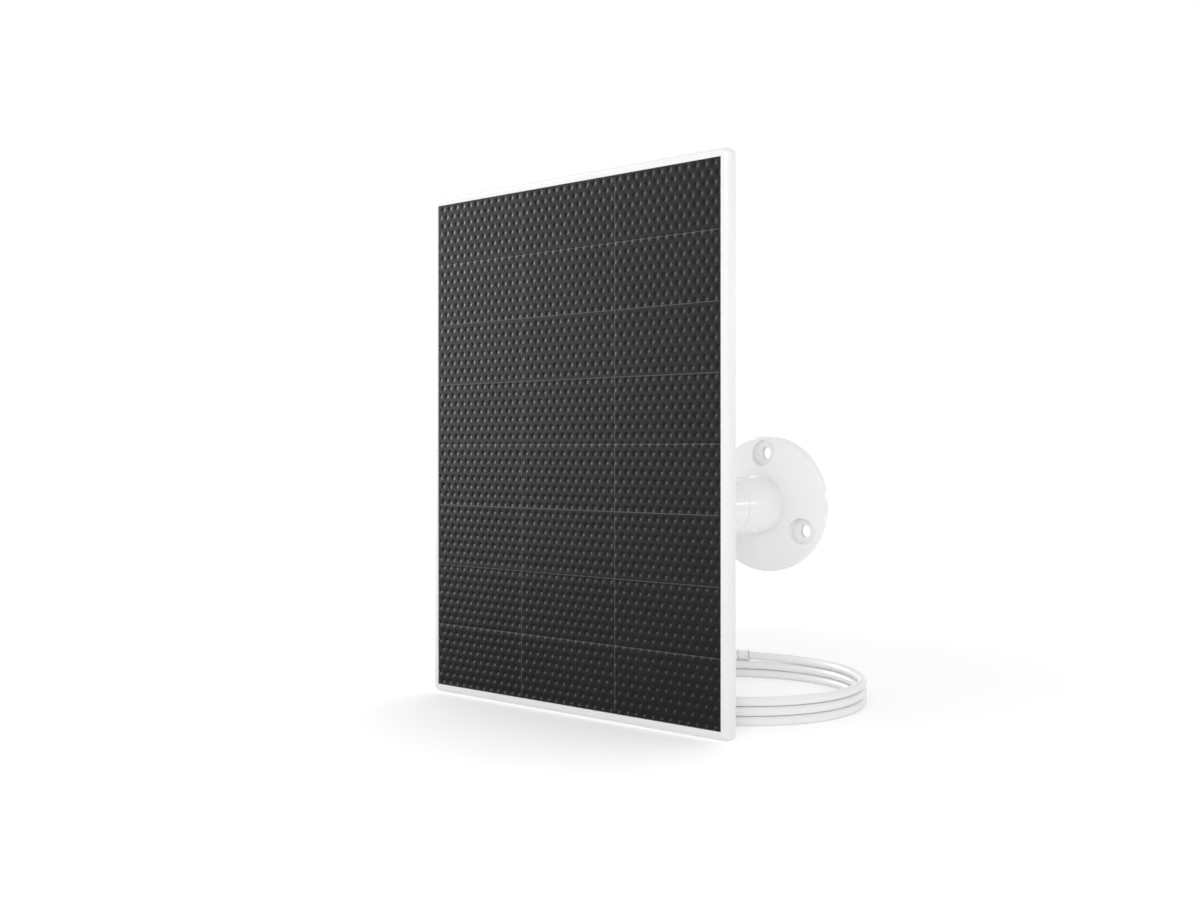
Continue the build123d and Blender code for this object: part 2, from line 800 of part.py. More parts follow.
def ring_section_plane(center, angle=0.0):
    """Plane through a coil's upright axis: local x is the radius and local y the height."""
    return Plane(
        origin=(center[0], face_y + center[1], 0),
        x_dir=(cos(radians(angle)), sin(radians(angle)), 0),
        z_dir=(sin(radians(angle)), -cos(radians(angle)), 0),
    )


cord_lead = cord_tube("cord_lead", lead_route)
save(cord_lead, "cord_lead")

store_axis = Axis((store_center[0], face_y + store_center[1], 0), (0, 0, 1))
with BuildPart() as storage_coil:
    with BuildSketch(ring_section_plane(store_center)):
        with Locations(((store_outer + store_hole) / 2, (store_top + tie_thickness) / 2)):
            RectangleRounded(store_outer - store_hole, store_top - tie_thickness, coil_corner)
    revolve(axis=store_axis)
save(storage_coil, "storage_coil")

with BuildPart() as coil_tie:
    tie_sweep = degrees(tie_width / store_outer)
    with BuildSketch(ring_section_plane(store_center, tie_angle - tie_sweep / 2)):
        with Locations(((store_outer + store_hole) / 2, (store_top + tie_thickness) / 2)):
            Rectangle(store_outer - store_hole + 2 * tie_thickness, store_top + tie_thickness)
    revolve(axis=store_axis, revolution_arc=tie_sweep)
    add(storage_coil.part, mode=Mode.SUBTRACT)
save(coil_tie, "coil_tie")

cord_link = cord_tube("cord_link", link_route)
save(cord_link, "cord_link")

loop_axis = Axis((loop_center[0], face_y + loop_center[1], 0), (0, 0, 1))
with BuildPart() as loop_coil:
    with BuildSketch(ring_section_plane(loop_center)):
        with Locations((loop_radius, (loop_height - cord_diameter) / 2)):
            RectangleRounded(cord_diameter, loop_height - cord_diameter, coil_corner)
    revolve(axis=loop_axis)
    with BuildSketch(ring_section_plane(loop_center, loop_top_start)):
        with Locations((loop_radius, loop_height - cord_diameter)):
            RectangleRounded(cord_diameter, 2 * cord_diameter, coil_corner)
    revolve(axis=loop_axis, revolution_arc=loop_top_end - loop_top_start)
save(loop_coil, "loop_coil")

cord_tail = cord_tube("cord_tail", tail_route)
save(cord_tail, "cord_tail")

# ================================================================ plug
plug_start = placed(tail_route)[-1]
plug_direction = Vector(
    cos(radians(plug_yaw)) * cos(radians(plug_droop)),
    sin(radians(plug_yaw)) * cos(radians(plug_droop)),
    -sin(radians(plug_droop)),
)
plug_side = Vector(sin(radians(plug_yaw)), -cos(radians(plug_yaw)), 0)
plug_plane = Plane(origin=plug_start, x_dir=plug_side, z_dir=plug_direction)
relief_end = plug_collar_length + plug_relief_length
body_end = relief_end + plug_body_length

with BuildPart() as plug_collar:
    with BuildSketch(plug_plane):
        Circle(plug_collar_radius)
    extrude(amount=plug_collar_length)
    fillet(plug_collar.edges().filter_by(GeomType.CIRCLE), radius=0.4)
save(plug_collar, "plug_collar")

with BuildPart() as plug_relief:
    with BuildSketch(plug_plane.offset(plug_collar_length)):
        Circle(plug_relief_front)
    with BuildSketch(plug_plane.offset(relief_end)):
        RectangleRounded(plug_body_width - 2, plug_body_height - 0.8, plug_body_height / 2 - 0.5)
    loft()
save(plug_relief, "plug_relief")

with BuildPart() as plug_body:
    with BuildSketch(plug_plane.offset(relief_end)):
        RectangleRounded(plug_body_width, plug_body_height, plug_body_height / 2 - 0.1)
    extrude(amount=plug_body_length)
    chamfer(plug_body.faces().sort_by(Axis(plug_start, plug_direction))[-1].edges(), length=0.5)
save(plug_body, "plug_body")

with BuildPart() as plug_seal:
    with BuildSketch(plug_plane.offset(body_end)):
        RectangleRounded(
            plug_shell_width + 2 * plug_seal_proud,
            plug_shell_height + 2 * plug_seal_proud,
            plug_shell_height / 2 + plug_seal_proud - 0.1,
        )
        RectangleRounded(plug_shell_width, plug_shell_height, plug_shell_height / 2 - 0.05, mode=Mode.SUBTRACT)
    extrude(amount=plug_seal_length)
save(plug_seal, "plug_seal")

with BuildPart() as plug_shell:
    with BuildSketch(plug_plane.offset(body_end)):
        RectangleRounded(plug_shell_width, plug_shell_height, plug_shell_height / 2 - 0.05)
    extrude(amount=plug_shell_length)
    with BuildSketch(plug_plane.offset(body_end + 0.8)):
        RectangleRounded(
            plug_shell_width - 2 * plug_shell_wall,
            plug_shell_height - 2 * plug_shell_wall,
            plug_shell_height / 2 - plug_shell_wall - 0.05,
        )
    extrude(amount=plug_shell_length - 0.8, mode=Mode.SUBTRACT)
save(plug_shell, "plug_shell")

with BuildPart() as plug_tongue:
    with BuildSketch(plug_plane.offset(body_end + 0.8)):
        Rectangle(plug_tongue_width, plug_tongue_height)
    extrude(amount=plug_shell_length - 1.6)
save(plug_tongue, "plug_tongue")
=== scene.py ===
"""Finished look of a camera's solar charging panel, its wall mount and its coiled cable."""
import json
from math import cos, pi, radians

import bpy
import numpy as np
from bpy.props import FloatProperty, FloatVectorProperty, IntProperty, PointerProperty
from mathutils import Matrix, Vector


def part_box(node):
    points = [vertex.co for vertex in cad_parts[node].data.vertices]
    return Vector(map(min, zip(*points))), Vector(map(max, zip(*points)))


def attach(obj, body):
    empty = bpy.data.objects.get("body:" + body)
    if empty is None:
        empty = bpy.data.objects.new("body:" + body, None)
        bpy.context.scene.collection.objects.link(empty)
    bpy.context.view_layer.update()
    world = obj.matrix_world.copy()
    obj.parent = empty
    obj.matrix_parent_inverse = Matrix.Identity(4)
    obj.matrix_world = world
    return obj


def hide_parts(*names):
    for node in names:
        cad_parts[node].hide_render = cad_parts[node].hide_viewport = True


bl_info = {
    "name": "Solar charging panel",
    "version": (1, 0, 0),
    "blender": (4, 5, 0),
    "location": "View3D > Sidebar > Solar Panel",
    "description": "Builds the film, cable, tie and finishes of a solar charging panel",
    "category": "Object",
}

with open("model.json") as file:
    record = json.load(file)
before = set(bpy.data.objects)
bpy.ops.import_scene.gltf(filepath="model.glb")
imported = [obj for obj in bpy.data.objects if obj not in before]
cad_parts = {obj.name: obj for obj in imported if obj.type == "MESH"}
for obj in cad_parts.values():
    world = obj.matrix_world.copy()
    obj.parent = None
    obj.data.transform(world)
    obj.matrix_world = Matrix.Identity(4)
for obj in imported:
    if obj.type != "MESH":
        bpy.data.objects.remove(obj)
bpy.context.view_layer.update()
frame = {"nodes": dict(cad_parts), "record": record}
MM = 0.001
FACE_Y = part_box("front_frame")[0][1]
FILM_LOW, FILM_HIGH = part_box("front_film")
FILM_MIDDLE = (FILM_LOW[2] + FILM_HIGH[2]) / 2
SHARP_EDGE = radians(60)      # faces that meet at more than this aren't smoothed across


# ---------------------------------------------------------------- settings
class FilmSettings(bpy.types.PropertyGroup):
    """Dimpled front film and the cells that show through it."""

    pitch: FloatProperty(name="Dimple pitch", description="Distance between dimples in a row",
                         default=3.27 * MM, subtype="DISTANCE")
    row_step: FloatProperty(name="Row step", description="Height between rows of dimples",
                            default=2.87 * MM, subtype="DISTANCE")
    radius: FloatProperty(name="Dimple radius", description="Radius of one dimple",
                          default=1.15 * MM, subtype="DISTANCE")
    depth: FloatProperty(name="Dimple depth", description="Depth of a dimple at its middle",
                         default=0.22 * MM, subtype="DISTANCE")
    grid: FloatProperty(name="Mesh step", description="Size of the film's mesh squares",
                        default=0.34 * MM, subtype="DISTANCE")
    columns: IntProperty(name="Cell columns", description="Cells across the panel", default=3)
    rows: IntProperty(name="Cell rows", description="Cells up the panel", default=8)
    line: FloatProperty(name="Cell gap", description="Width of the line between two cells",
                        default=0.34 * MM, subtype="DISTANCE")
    shade: FloatVectorProperty(name="Film colour", description="Colour of the black film",
                               default=(0.0195, 0.0195, 0.02), subtype="COLOR")
    line_shade: FloatVectorProperty(name="Line colour", description="Colour between the cells",
                                    default=(0.07, 0.07, 0.071), subtype="COLOR")


class CordSettings(bpy.types.PropertyGroup):
    """White round cable, its two coils and its tie."""

    diameter: FloatProperty(name="Diameter", description="Cable thickness",
                            default=3.03 * MM, subtype="DISTANCE")
    turn_points: IntProperty(name="Points per turn", description="Route points in one turn",
                             default=24)
    step_angle: FloatProperty(name="Crossing", description="Angle of a turn's step to the next",
                              default=radians(60), subtype="ANGLE")
    store_rings: IntProperty(name="Stored rings", description="Turns side by side", default=5)
    store_layers: IntProperty(name="Stored layers", description="Turns on each other", default=4)
    tie_width: FloatProperty(name="Tie width", description="Width of the tie round the stored coil",
                             default=8.0 * MM, subtype="DISTANCE")
    tie_thickness: FloatProperty(name="Tie thickness", description="Thickness of the tie",
                                 default=0.6 * MM, subtype="DISTANCE")


class FinishSettings(bpy.types.PropertyGroup):
    """Colours of the visible plastics."""

    frame_white: FloatVectorProperty(name="Frame white", description="Colour of the panel's frame",
                                     default=(0.83, 0.83, 0.83), subtype="COLOR")
    mount_white: FloatVectorProperty(name="Mount white", description="Colour of the wall mount",
                                     default=(0.93, 0.93, 0.93), subtype="COLOR")
    cord_white: FloatVectorProperty(name="Cable white", description="Colour of the cable",
                                    default=(0.89, 0.89, 0.89), subtype="COLOR")


class StageSettings(bpy.types.PropertyGroup):
    """Camera and light."""

    lens: FloatProperty(name="Lens", description="Focal length in millimetres", default=36.81)
    camera: FloatVectorProperty(name="Camera place", description="Where the camera stands",
                                default=(258.3 * MM, -366.4 * MM, 85.9 * MM), subtype="TRANSLATION")
    turn: FloatProperty(name="Camera turn", description="Turn of the camera about the upright axis",
                        default=radians(38.87), subtype="ANGLE")
    ambient: FloatProperty(name="Ambient", description="Even light on rough surfaces",
                           default=0.86)
    side_shade: FloatProperty(name="Side shade", description="Share of light lost from the right",
                              default=0.17)
    top_shade: FloatProperty(name="Top shade", description="Share of light lost from above",
                             default=0.2)
    dark_side: FloatProperty(name="Dark side", description="Angle where reflections are darkest",
                             default=28.0)
    bright_side: FloatProperty(name="Bright side", description="Angle where the wash is brightest",
                               default=55.0)
    wash: FloatProperty(name="Wash", description="Reflected light at the bright side", default=1.75)
    panel: FloatProperty(name="Light panel", description="Reflected light of the tall left panel",
                         default=6.0)
    near_glow: FloatProperty(name="Near glow", description="Floor's own light beside the panel",
                             default=0.17)
    far_glow: FloatProperty(name="Far glow", description="Floor's own light far away", default=0.4)
    floor_size: FloatProperty(name="Floor size", description="Half the side of the floor",
                              default=12.0, subtype="DISTANCE")


# ---------------------------------------------------------------- shader expressions
WHITE = (1.0, 1.0, 1.0)


class Wire:
    """A shader value in an expression: each operator adds one Math node to its finish."""

    def __init__(self, finish, socket):
        self.finish = finish
        self.socket = socket

    def math(self, operation, *others):
        return self.finish.add("ShaderNodeMath", {"operation": operation}, self, *others)

    def __add__(self, other):
        return self.math("ADD", other)

    def __sub__(self, other):
        return self.math("SUBTRACT", other)

    def __rsub__(self, other):
        return self.finish.add("ShaderNodeMath", {"operation": "SUBTRACT"}, other, self)

    def __mul__(self, other):
        return self.math("MULTIPLY", other)

    def __truediv__(self, other):
        return self.math("DIVIDE", other)

    def __lt__(self, other):
        return self.math("LESS_THAN", other)

    def __gt__(self, other):
        return self.math("GREATER_THAN", other)

    __radd__ = __add__
    __rmul__ = __mul__


class Finish:
    """A material, or the studio's surroundings, under construction."""

    def __init__(self, name, library="materials", shader="Principled BSDF"):
        self.material = getattr(bpy.data, library).new(name)
        self.material.use_nodes = True
        self.tree = self.material.node_tree
        self.shader = self.tree.nodes[shader]

    def put(self, socket, value):
        """Link a wire to a socket, or set the socket's own value."""
        if isinstance(value, Wire):
            self.tree.links.new(value.socket, socket)
        else:
            socket.default_value = value

    def add(self, kind, settings, *values, out=0, **named):
        """Add a node with its settings, and its sockets in order or by name. Gives one output."""
        node = self.tree.nodes.new(kind)
        for key, value in settings.items():
            setattr(node, key, value)
        for index, value in enumerate(values):
            self.put(node.inputs[index], value)
        for key, value in named.items():
            self.put(node.inputs[key.replace("_", " ")], value)
        return Wire(self, node.outputs[out])

    def place(self):
        """Object coordinates, and their three parts."""
        point = self.add("ShaderNodeTexCoord", {}, out="Object")
        return point, [self.add("ShaderNodeSeparateXYZ", {}, point, out=axis) for axis in "XYZ"]

    def noise(self, point, scale, detail=2.0):
        return self.add("ShaderNodeTexNoise", {}, Vector=point, Scale=scale, Detail=detail)

    def blend(self, share, first, second):
        """Colour that goes from first to second as share goes from 0 to 1."""
        mix = self.tree.nodes.new("ShaderNodeMix")
        mix.data_type = "RGBA"
        self.put(mix.inputs[0], share)
        self.put(mix.inputs[6], first)
        self.put(mix.inputs[7], second)
        return Wire(self, mix.outputs[2])

    def bump(self, height, distance, strength=1.0):
        return self.add("ShaderNodeBump", {}, Height=height, Distance=distance, Strength=strength)

    def surface(self, **sockets):
        for key, value in sockets.items():
            self.put(self.shader.inputs[key.replace("_", " ")], value)
        return self.material


def rgba(shade, factor=1.0):
    """Colour with full alpha, times a factor."""
    return (shade[0] * factor, shade[1] * factor, shade[2] * factor, 1.0)


def moulded_plastic(name, shade, roughness, grain_size, grain_depth, coat=0.0):
    """Moulded plastic: faint cloudiness in colour and gloss, and a fine grain in the surface.

    The grain's size and depth are in millimetres."""
    finish = Finish(name)
    point, _ = finish.place()
    cloud = finish.noise(point, 35.0)
    grain = finish.noise(point, 1.0 / (grain_size * MM), 3.0)
    return finish.surface(
        Base_Color=finish.blend(cloud, rgba(shade, 0.985), rgba(shade, 1.015)),
        Roughness=roughness - 0.04 + cloud * 0.08,
        Coat_Weight=coat,
        Coat_Roughness=0.08,
        Normal=finish.bump(grain, grain_depth * MM),
    )


def metal(name, shade, roughness, brush=(1.0, 1.0, 1.0)):
    """Metal with fine marks, drawn out along the axes with a small brush value."""
    finish = Finish(name)
    point, _ = finish.place()
    drawn = finish.add("ShaderNodeMapping", {}, Vector=point, Scale=brush)
    marks = finish.noise(drawn, 900.0, 4.0)
    return finish.surface(
        Base_Color=finish.blend(marks, rgba(shade, 0.9), rgba(shade, 1.08)),
        Metallic=1.0,
        Roughness=roughness + marks * 0.12,
        Normal=finish.bump(marks, 0.006 * MM),
    )


# ---------------------------------------------------------------- mesh building
def piece(name, vertices, faces, material, smooth=True):
    """A new mesh object at the origin, with its place in its vertices."""
    mesh = bpy.data.meshes.new(name)
    mesh.from_pydata(vertices.tolist(), [], [tuple(face) for face in faces])
    mesh.validate()
    mesh.shade_smooth() if smooth else mesh.shade_flat()
    mesh.materials.append(material)
    made = bpy.data.objects.new(name, mesh)
    bpy.context.scene.collection.objects.link(made)
    return made


def grid_faces(rows, columns, wrap_rows=False, wrap_columns=False):
    """Corner numbers of the quads of a grid of points, closed on itself where it wraps."""
    i = np.arange(rows if wrap_rows else rows - 1)[:, None]
    j = np.arange(columns if wrap_columns else columns - 1)[None, :]
    down, right = (i + 1) % rows, (j + 1) % columns
    corners = [i * columns + j, down * columns + j, down * columns + right, i * columns + right]
    return np.stack([c + 0 * (i + j) for c in corners], axis=-1).reshape(-1, 4)


def wrapped(value, period):
    """Signed distance from the nearest multiple of the period."""
    return value - period * np.round(value / period)


def dimple_depth(x, z, film):
    """Depth of the film's dimples: a rounded bell about each point of a staggered lattice.

    The lattice is two rectangular ones, the second moved by half a pitch and one row."""
    pitch, step = film.pitch, film.row_step
    first = np.hypot(wrapped(x, pitch), wrapped(z, 2 * step))
    second = np.hypot(wrapped(x - pitch / 2, pitch), wrapped(z - step, 2 * step))
    share = np.clip(np.minimum(first, second) / film.radius, 0, 1)
    return film.depth * (1 - share**2) ** 2


def closed_sheet(x, y, z, back_y):
    """Vertices and faces of a grid of points with sides and one flat face behind it."""
    front = np.stack([x, y, z], axis=-1).reshape(-1, 3)
    index = np.arange(x.size).reshape(x.shape)
    rim = np.concatenate([index[:-1, 0], index[-1, :-1], index[:0:-1, -1], index[0, :0:-1]])
    back = front[rim].copy()
    back[:, 1] = back_y
    step = np.arange(len(rim))
    after = (step + 1) % len(rim)
    first = len(front)
    sides = np.stack([rim, first + step, first + after, rim[after]], axis=-1)
    faces = grid_faces(*x.shape)[:, ::-1].tolist() + sides.tolist()
    faces.append((first + step[::-1]).tolist())
    return np.concatenate([front, back]), faces


class PANEL_OT_film(bpy.types.Operator):
    """Make the dimpled front film, one strip for each column of cells"""

    bl_idname = "solar_panel.film"
    bl_label = "Front film"

    def execute(self, context):
        film = context.scene.solar_film
        material = film_finish(film)
        width = (FILM_HIGH[0] - FILM_LOW[0]) / film.columns
        height = FILM_HIGH[2] - FILM_LOW[2]
        across = int(round(width / film.grid)) + 1
        up = int(round(height / film.grid)) + 1
        for column in range(film.columns):
            left = FILM_LOW[0] + column * width
            x, z = np.meshgrid(np.linspace(left, left + width, across),
                               np.linspace(FILM_LOW[2], FILM_HIGH[2], up), indexing="ij")
            y = FILM_LOW[1] + dimple_depth(x, z - FILM_MIDDLE, film)
            vertices, faces = closed_sheet(x, y, z, FILM_HIGH[1])
            strip = piece(f"front_film_{column + 1}", vertices, faces, material)
            strip.data.set_sharp_from_angle(angle=SHARP_EDGE)
            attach(strip, "panel")
            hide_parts("front_film")
        return {"FINISHED"}


def film_finish(film):
    """Black dimpled film: dark, half gloss, with thin grey lines between the cells below it."""
    finish = Finish("black_film")
    point, (x, _, z) = finish.place()
    cell_width = (FILM_HIGH[0] - FILM_LOW[0]) / film.columns
    cell_height = (FILM_HIGH[2] - FILM_LOW[2]) / film.rows
    column = ((x - FILM_LOW[0]) / cell_width + 0.5).math("FRACT") - 0.5
    row = ((z - FILM_LOW[2]) / cell_height + 0.5).math("FRACT") - 0.5
    upright = column.math("ABSOLUTE") * cell_width < film.line / 2
    level = row.math("ABSOLUTE") * cell_height < film.line / 2
    inside_width = x.math("ABSOLUTE") < FILM_HIGH[0] - 2 * film.line
    inside_height = (z - FILM_MIDDLE).math("ABSOLUTE") < FILM_HIGH[2] - FILM_MIDDLE - 2 * film.line
    lines = upright.math("MAXIMUM", level) * (inside_width * inside_height)
    cloud = finish.noise(point, 60.0)
    grain = finish.noise(point, 9000.0, 2.0)
    shade = finish.blend(cloud, rgba(film.shade, 0.9), rgba(film.shade, 1.1))
    return finish.surface(
        Base_Color=finish.blend(lines, shade, rgba(film.line_shade)),
        Roughness=0.21 + cloud * 0.05,
        Normal=finish.bump(grain, 0.004 * MM),
        Specular_IOR_Level=0.5,
    )


# ---------------------------------------------------------------- cable
# Route points in millimetres: x, depth from the panel's face, height.
LEAD_ROUTE = [(0.0, 15.6, 24.3), (0.0, 15.7, 16.8), (-2.9, 15.8, 9.9), (-8.2, 16.1, 4.6),
              (-15.4, 17.0, 1.8), (-24.6, 19.2, 1.7), (-33.4, 21.5, 2.1)]
LINK_ROUTE = [(-17.2, 44.0, 11.2), (-17.0, 35.5, 10.5), (-14.6, 28.3, 8.0), (-9.2, 23.4, 4.9),
              (-1.6, 20.9, 2.5), (6.6, 19.2, 1.6), (14.6, 17.3, 1.55)]
TAIL_ROUTE = [(33.0, 98.1, 7.6), (25.2, 98.2, 7.65), (17.6, 97.4, 7.7), (10.2, 95.3, 7.8)]
LOOP_LEVELS = 3
STORE_START, STORE_END = -101.0, 5.0      # degrees, seen from above, turning clockwise
LOOP_START, LOOP_END = 252.0, 72.0        # degrees, turning anticlockwise
FULL_TURN = 2 * pi


def eased(share):
    """Smooth step from 0 to 1."""
    share = np.clip(share, 0, 1)
    return share * share * (3 - 2 * share)


def wound(centre, base, start, turn, stages, points):
    """Route points of a coil, as rows of x, y, z.

    stages are (travel, radius, height) at the ends of its stretches. Radius and height ease from
    one stage to the next while the angle goes steadily on. The curve runs a little inside its route
    points, so each radius is divided by the cosine of half the angle between two of them."""
    travel, radius, height = (np.array(column) for column in zip(*stages))
    angle = np.arange(travel[0], travel[-1] + 1e-6, FULL_TURN / points)
    found = np.clip(np.searchsorted(travel, angle, side="right") - 1, 0, len(travel) - 2)
    share = eased((angle - travel[found]) / (travel[found + 1] - travel[found]))
    r = (radius[found] + (radius[found + 1] - radius[found]) * share) / cos(pi / points)
    z = height[found] + (height[found + 1] - height[found]) * share
    around = start + turn * angle
    return np.stack([centre[0] + r * np.cos(around), centre[1] + r * np.sin(around), base + z],
                    axis=-1)


class PANEL_OT_cord(bpy.types.Operator):
    """Lay the cable from the gland through its stored coil and its large loop to the plug"""

    bl_idname = "solar_panel.cord"
    bl_label = "Cable"

    def execute(self, context):
        cord = context.scene.solar_cord
        route = np.concatenate([placed(LEAD_ROUTE), stored_turns(cord), placed(LINK_ROUTE),
                                loop_turns(cord), placed(TAIL_ROUTE)])
        data = bpy.data.curves.new("charging_cable", "CURVE")
        data.dimensions = "3D"
        data.resolution_u = 4
        data.bevel_depth = cord.diameter / 2
        data.bevel_resolution = 5
        data.use_fill_caps = True
        spline = data.splines.new("NURBS")
        spline.points.add(len(route) - 1)
        spline.points.foreach_set("co", np.column_stack([route, np.ones(len(route))]).ravel())
        spline.order_u = 3
        spline.use_endpoint_u = True
        data.materials.append(cord_finish(context.scene.solar_finish))
        cable = bpy.data.objects.new("charging_cable", data)
        context.scene.collection.objects.link(cable)
        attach(cable, "panel")
        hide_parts("cord_lead", "storage_coil", "cord_link", "loop_coil", "cord_tail")
        return {"FINISHED"}


def placed(route):
    """Route points in metres, in the frame's own axes."""
    return np.array(route) * MM + np.array([0, FACE_Y, 0])


def middle(node):
    """Middle of a node's box, seen from above."""
    low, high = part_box(node)
    return (low[0] + high[0]) / 2, (low[1] + high[1]) / 2


def coil_stages(cord, radius, changes, start, end):
    """Stages of a coil that turns at one level and radius between changes.

    changes are (travel before it, step outward, step up), each made within one crossing. The last
    stretch runs on to the end angle, with angles measured in the coil's own direction."""
    travel, height = 0.0, 0.0
    stages = [(travel, radius, height)]
    for level_travel, outward, up in changes:
        travel += level_travel
        stages.append((travel, radius, height))
        travel += cord.step_angle
        radius += outward
        height += up
        stages.append((travel, radius, height))
    last = (radians(end) - radians(start) - travel) % FULL_TURN
    return stages + [(travel + last, radius, height)]


def outer_radius(node, cord):
    """Radius of a coil's outer turn, at the cable's middle line."""
    low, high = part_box(node)
    return (high[0] - low[0]) / 2 - cord.diameter / 2


def stored_turns(cord):
    """Stored coil: spirals in and out by turns, layer on layer.

    Every turn steps to the next ring just before it closes. A layer's last turn climbs one crossing
    sooner, so it is out of the way of the turn beside it."""
    one_less = FULL_TURN - cord.step_angle
    two_less = FULL_TURN - 2 * cord.step_angle
    changes = []
    for layer in range(cord.store_layers):
        outward = (-1 if layer % 2 == 0 else 1) * cord.diameter
        for ring in range(cord.store_rings - 1):
            changes.append((two_less if ring == 0 and layer else one_less, outward, 0.0))
        if layer < cord.store_layers - 1:
            changes.append((two_less, 0.0, cord.diameter))
    stages = coil_stages(cord, outer_radius("storage_coil", cord), changes,
                         -STORE_START, -STORE_END)
    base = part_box("storage_coil")[0][2] + cord.diameter / 2
    return wound(middle("storage_coil"), base, radians(STORE_START), -1, stages, cord.turn_points)


def loop_turns(cord):
    """Large loop: level turns on each other, which climb where the panel hides them."""
    changes = [(FULL_TURN - cord.step_angle * (2 if level else 1), 0.0, cord.diameter)
               for level in range(LOOP_LEVELS - 1)]
    stages = coil_stages(cord, outer_radius("loop_coil", cord), changes, LOOP_START, LOOP_END)
    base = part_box("loop_coil")[0][2] + cord.diameter / 2
    return wound(middle("loop_coil"), base, radians(LOOP_START), 1, stages, cord.turn_points)


STRAP_POINTS, STRAP_EDGE_POINTS = 96, 16      # round the coil, and round the band's own section
STRAP_CORNER = 0.4                            # power that squares the band's path
STRAP_EDGES = 0.35, 0.8                       # powers that flatten the band's own section
STRAP_DIP = 0.035                             # dip between turns, as a share of the half height


class PANEL_OT_tie(bpy.types.Operator):
    """Wrap a woven hook-and-loop tie round the stored coil"""

    bl_idname = "solar_panel.tie"
    bl_label = "Coil tie"

    def execute(self, context):
        cord = context.scene.solar_cord
        low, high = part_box("coil_tie")
        centre = middle("storage_coil")
        outer = centre[0] - low[0]
        inner = centre[0] - high[0]
        section = ((outer + inner) / 2, (outer - inner) / 2,
                   (low[2] + high[2]) / 2, (high[2] - low[2]) / 2)
        vertices, faces = strap_loop(centre, section, cord)
        made = piece("coil_tie_band", vertices, faces, woven_finish(context.scene.solar_finish))
        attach(made, "panel")
        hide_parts("coil_tie")
        return {"FINISHED"}


def rounded(share, power):
    """A sine or cosine raised to a power with its sign kept: below 1 makes a circle squarer."""
    return np.sign(share) * np.abs(share) ** power


def strap_loop(centre, section, cord):
    """Vertices and faces of a flat band round the coil's section.

    section is the middle and half of its extent along the coil's radius, then the same in height.
    The band's middle line is a rounded box in that plane. Where it crosses the turns it dips a
    little between them. Its own section is a flat box with rounded long edges."""
    radius, half_wide, level, half_high = section
    thick = cord.tie_thickness
    around = np.linspace(0, FULL_TURN, STRAP_POINTS, endpoint=False)
    across = rounded(np.cos(around), STRAP_CORNER)
    up = rounded(np.sin(around), STRAP_CORNER)
    waves = (1 - np.cos(FULL_TURN * across * (half_wide - thick) / cord.diameter)) / 2
    dip = 1 - STRAP_DIP * waves * (np.abs(up) > 0.95)
    edge = np.linspace(0, FULL_TURN, STRAP_EDGE_POINTS, endpoint=False)
    wide = rounded(np.cos(edge), STRAP_EDGES[0]) * cord.tie_width / 2
    deep = rounded(np.sin(edge), STRAP_EDGES[1]) * thick / 2
    normal = np.stack([rounded(across, 4), rounded(up, 4)], axis=-1)
    normal /= np.linalg.norm(normal, axis=-1, keepdims=True)
    r = radius + (across * (half_wide - thick / 2))[:, None] + normal[:, :1] * deep
    z = level + (up * dip * (half_high - thick / 2))[:, None] + normal[:, 1:] * deep
    points = np.stack([centre[0] - r, centre[1] + np.broadcast_to(wide, r.shape), z], axis=-1)
    return points.reshape(-1, 3), grid_faces(STRAP_POINTS, STRAP_EDGE_POINTS, True, True)


def woven_finish(finishes):
    """White webbing: a plain-woven tape of fine threads, with painted shade that darkens the colour
    between the threads, so the top of each thread is lighter.
    """
    finish = Finish("white_tie")
    point, (x, y, z) = finish.place()
    thread = FULL_TURN / (0.55 * MM)
    weave_and_painted_shade = ((x + z) * thread).math("SINE") * (y * thread).math("SINE") * 0.5 + 0.5
    fuzz = finish.noise(point, 5000.0, 3.0)
    # Painted shade: the colour runs from darker between the threads to lighter on top of each
    # thread.
    shade = finish.blend(weave_and_painted_shade, rgba(finishes.cord_white, 0.72), rgba(finishes.cord_white, 0.98))
    return finish.surface(
        Base_Color=shade,
        Roughness=0.75 + fuzz * 0.15,
        Sheen_Weight=0.3,
        Normal=finish.bump(weave_and_painted_shade + fuzz * 0.3, 0.09 * MM),
    )


def cord_finish(finishes):
    """Soft white sheath: a faint grain, a little cloudiness and a soft gloss."""
    return moulded_plastic("white_cord", finishes.cord_white, 0.36, 0.5, 0.01, coat=0.1)


# ---------------------------------------------------------------- carried-over pieces
# Colour, roughness, size and depth of the grain in millimetres.
PLASTICS = {
    "grey_rubber": ((0.05, 0.05, 0.053), 0.7, 0.3, 0.02),
    "vent_grey": ((0.35, 0.36, 0.37), 0.6, 0.3, 0.03),
    "black_plastic": ((0.02, 0.02, 0.02), 0.45, 0.3, 0.02),
    "black_chip": ((0.015, 0.015, 0.016), 0.5, 0.2, 0.02),
    "ferrite": ((0.06, 0.06, 0.065), 0.65, 0.2, 0.04),
    "seat_plastic": ((0.55, 0.55, 0.53), 0.4, 0.4, 0.01),
    "foam": ((0.62, 0.62, 0.62), 0.85, 0.6, 0.12),
    "wire_red": ((0.45, 0.02, 0.015), 0.4, 0.4, 0.01),
    "circuit_board": ((0.01, 0.12, 0.04), 0.35, 2.0, 0.03),
    "cell_board": ((0.05, 0.06, 0.05), 0.5, 0.8, 0.03),
    "cells": ((0.008, 0.01, 0.03), 0.25, 0.5, 0.004),
}
